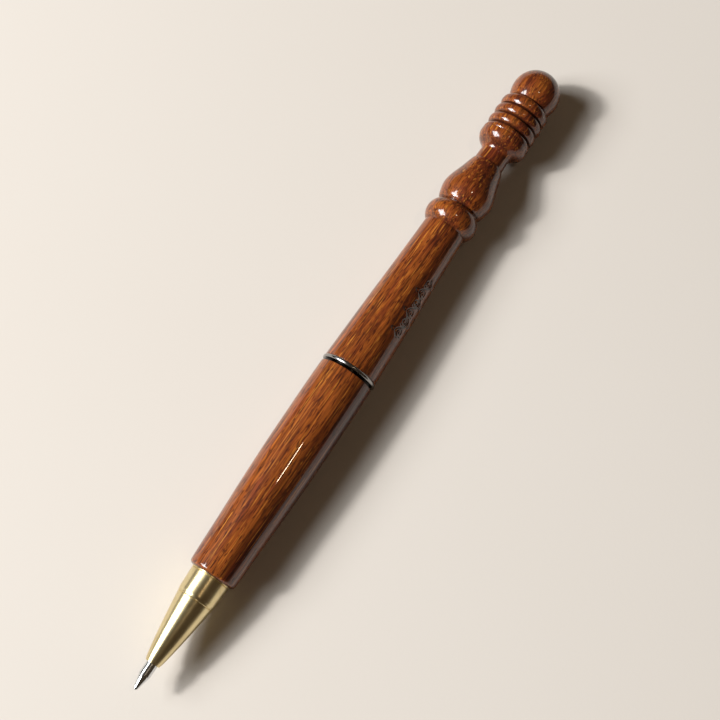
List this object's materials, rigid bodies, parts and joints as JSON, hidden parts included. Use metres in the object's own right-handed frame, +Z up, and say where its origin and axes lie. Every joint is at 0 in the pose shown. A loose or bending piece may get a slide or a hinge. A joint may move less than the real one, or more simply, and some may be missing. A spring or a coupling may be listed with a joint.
{
  "type": "twist ballpoint pen",
  "caption": "Twist-action ballpoint pen with two lathe-turned, lacquered wooden barrels, a turned ball finial, a thin centre ring and a plain conical brass nose.",
  "frame": {"origin": "on the surface the pen lies on, under the middle of its length, below the common axis of all its turned pieces", "axes": "+X along the pen from the writing point to the finial, +Z up, +Y to the left when looking along +X"},
  "size_m": [0.15, 0.012, 0.012],
  "materials": {
    "lower_wood": "high-gloss lacquer over reddish brown straight-grained wood",
    "upper_wood": "high-gloss lacquer over reddish brown straight-grained wood",
    "turned_brass": "bright turned brass with fine lathe lines",
    "plain_brass": "satin drawn brass tube",
    "bright_metal": "bright plating",
    "steel": "ground steel",
    "white_plastic": "moulded nylon",
    "ink": "black ballpoint ink",
    "ball_metal": "polished carbide"
  },
  "bodies": {
    "lower_half": {"lower_barrel": "lower_wood", "lower_sleeve": "plain_brass", "nose_coupler": "turned_brass", "centre_ring": "bright_metal", "friction_washer": "white_plastic", "mechanism_housing": "plain_brass", "slotted_guide": "steel", "retaining_clip": "steel"},
    "nose_shim": {"nose_shim": "turned_brass"},
    "nose_cone": {"nose_cone": "turned_brass"},
    "rotor": {"cam_sleeve": "steel", "mechanism_drum": "plain_brass"},
    "upper_half": {"upper_barrel": "upper_wood", "upper_sleeve": "plain_brass"},
    "refill": {"point_holder": "steel", "ink_tube": "plain_brass", "ink_column": "ink", "refill_plug": "white_plastic", "refill_carrier": "white_plastic", "follower_pin": "steel"},
    "writing_ball": {"writing_ball": "ball_metal"}
  },
  "joints": [
    {"name": "twist", "type": "hinge", "parent": "lower_half", "child": "rotor", "pos_m": [0, 0, 0.006], "axis": [1, 0, 0], "range_deg": [0, 180]},
    {"name": "upper_pull", "type": "slide", "parent": "rotor", "child": "upper_half", "axis": [1, 0, 0], "range_m": [0, 0.026]},
    {"name": "refill_travel", "type": "slide", "parent": "lower_half", "child": "refill", "axis": [1, 0, 0], "range_m": [0, 0.0065]},
    {"name": "nose_advance", "type": "slide", "parent": "lower_half", "child": "nose_shim", "axis": [-1, 0, 0], "range_m": [0, 0.0032]},
    {"name": "nose_turn", "type": "hinge", "parent": "nose_shim", "child": "nose_cone", "pos_m": [-0.06, 0, 0.006], "axis": [-1, 0, 0], "range_deg": [0, 1440]},
    {"name": "ball_roll", "type": "hinge", "parent": "refill", "child": "writing_ball", "pos_m": [-0.07465, 0, 0.006], "axis": [0, 1, 0], "continuous": true}
  ],
  "couplings": [
    {"joint": "twist", "follows": "refill_travel", "rad_per_m": 483.32},
    {"joint": "nose_turn", "follows": "nose_advance", "rad_per_m": 7854}
  ]
}
